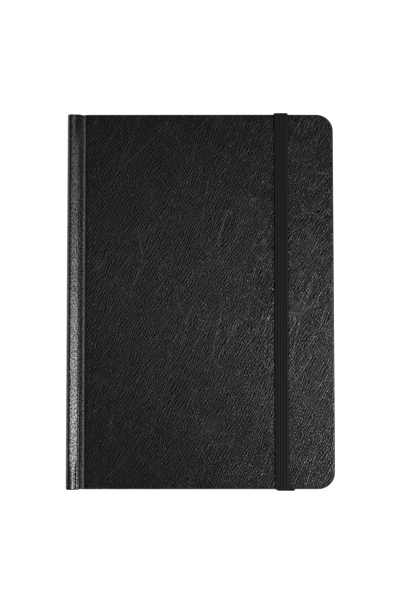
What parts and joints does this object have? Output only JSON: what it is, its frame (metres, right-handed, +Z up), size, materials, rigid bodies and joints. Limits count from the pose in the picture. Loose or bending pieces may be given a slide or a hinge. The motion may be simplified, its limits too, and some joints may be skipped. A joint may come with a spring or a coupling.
{
  "type": "sketchbook",
  "caption": "Closed A5 hardcover sketchbook lying flat: black leatherette case with a creased spine joint, rounded fore-edge corners, sewn pages and an upright elastic closure band",
  "frame": {"origin": "under the middle of the closed book, on the plane that the back cover's outer face lies in", "axes": "+X from the spine to the fore edge, +Y to the head of the pages, +Z up from the back cover to the front cover"},
  "size_m": [0.1536, 0.2168, 0.0214],
  "materials": {
    "leatherette": "black grained leatherette, semi-gloss",
    "board": "grey board, matt",
    "end_paper": "heavy ivory end paper, matt",
    "page_paper": "ivory drawing paper, matt",
    "lining_paper": "brown lining paper, matt",
    "mull_cloth": "open weave gauze",
    "glue": "dried adhesive",
    "thread": "waxed linen thread",
    "band_cloth": "black woven band",
    "elastic": "black ribbed woven elastic"
  },
  "bodies": {
    "back_cover_and_block": {"back_cover_skin": "leatherette", "back_board": "board", "back_pastedown": "end_paper", "back_flyleaf": "end_paper", "spine_cover_skin": "leatherette", "spine_stiffener": "board", "spine_lining": "lining_paper", "mull": "mull_cloth", "spine_glue": "glue", "sewing_thread": "thread", "head_band": "band_cloth", "tail_band": "band_cloth", "signature_01": "page_paper", "signature_02": "page_paper", "signature_03": "page_paper", "signature_04": "page_paper", "signature_05": "page_paper", "signature_06": "page_paper", "signature_07": "page_paper", "signature_08": "page_paper", "signature_09": "page_paper", "signature_10": "page_paper", "signature_11": "page_paper", "signature_12": "page_paper", "front_hinge_fold": "leatherette", "front_endpaper_hinge": "end_paper", "elastic_head_anchor": "elastic", "elastic_tail_anchor": "elastic"},
    "front_joint": {"front_joint_skin": "leatherette"},
    "front_cover": {"front_cover_skin": "leatherette", "front_board": "board", "front_pastedown": "end_paper"},
    "flyleaf": {"front_flyleaf": "end_paper"},
    "leaf_1": {"turning_leaf_1": "page_paper"},
    "leaf_2": {"turning_leaf_2": "page_paper"},
    "leaf_3": {"turning_leaf_3": "page_paper"},
    "leaf_4": {"turning_leaf_4": "page_paper"},
    "elastic": {"elastic_band": "elastic"}
  },
  "joints": [
    {"name": "front_cover_hinge", "type": "hinge", "parent": "back_cover_and_block", "child": "front_joint", "pos_m": [-0.07645, 0, 0.0178], "axis": [0, -1, 0], "range_deg": [0, 175], "deforming": ["front_hinge_fold", "front_endpaper_hinge"]},
    {"name": "front_groove_bend", "type": "hinge", "parent": "front_joint", "child": "front_cover", "pos_m": [-0.06845, 0, 0.0185], "axis": [0, -1, 0], "range_deg": [0, 11.2]},
    {"name": "flyleaf_turn", "type": "hinge", "parent": "back_cover_and_block", "child": "flyleaf", "pos_m": [-0.074, 0, 0.0176], "axis": [0, -1, 0], "range_deg": [0, 174.62]},
    {"name": "leaf_1_turn", "type": "hinge", "parent": "back_cover_and_block", "child": "leaf_1", "pos_m": [-0.074, 0, 0.0176], "axis": [0, -1, 0], "range_deg": [0, 168.5]},
    {"name": "leaf_2_turn", "type": "hinge", "parent": "back_cover_and_block", "child": "leaf_2", "pos_m": [-0.074, 0, 0.0176], "axis": [0, -1, 0], "range_deg": [0, 140.5]},
    {"name": "leaf_3_turn", "type": "hinge", "parent": "back_cover_and_block", "child": "leaf_3", "pos_m": [-0.074, 0, 0.0176], "axis": [0, -1, 0], "range_deg": [0, 96.75]},
    {"name": "leaf_4_turn", "type": "hinge", "parent": "back_cover_and_block", "child": "leaf_4", "pos_m": [-0.074, 0, 0.0176], "axis": [0, -1, 0], "range_deg": [0, 49.5]},
    {"name": "elastic_release", "type": "slide", "parent": "back_cover_and_block", "child": "elastic", "axis": [1, 0, 0], "range_m": [0, 0.038], "stiffness_N_per_m": 60, "deforming": ["elastic_band"]}
  ],
  "couplings": [
    {"joint": "front_groove_bend", "follows": "front_cover_hinge", "ratio": 0.062857},
    {"joint": "flyleaf_turn", "follows": "front_cover_hinge", "ratio": 0.995},
    {"joint": "leaf_1_turn", "follows": "front_cover_hinge", "ratio": 0.96},
    {"joint": "leaf_2_turn", "follows": "front_cover_hinge", "ratio": 0.8},
    {"joint": "leaf_3_turn", "follows": "front_cover_hinge", "ratio": 0.55},
    {"joint": "leaf_4_turn", "follows": "front_cover_hinge", "ratio": 0.28}
  ]
}
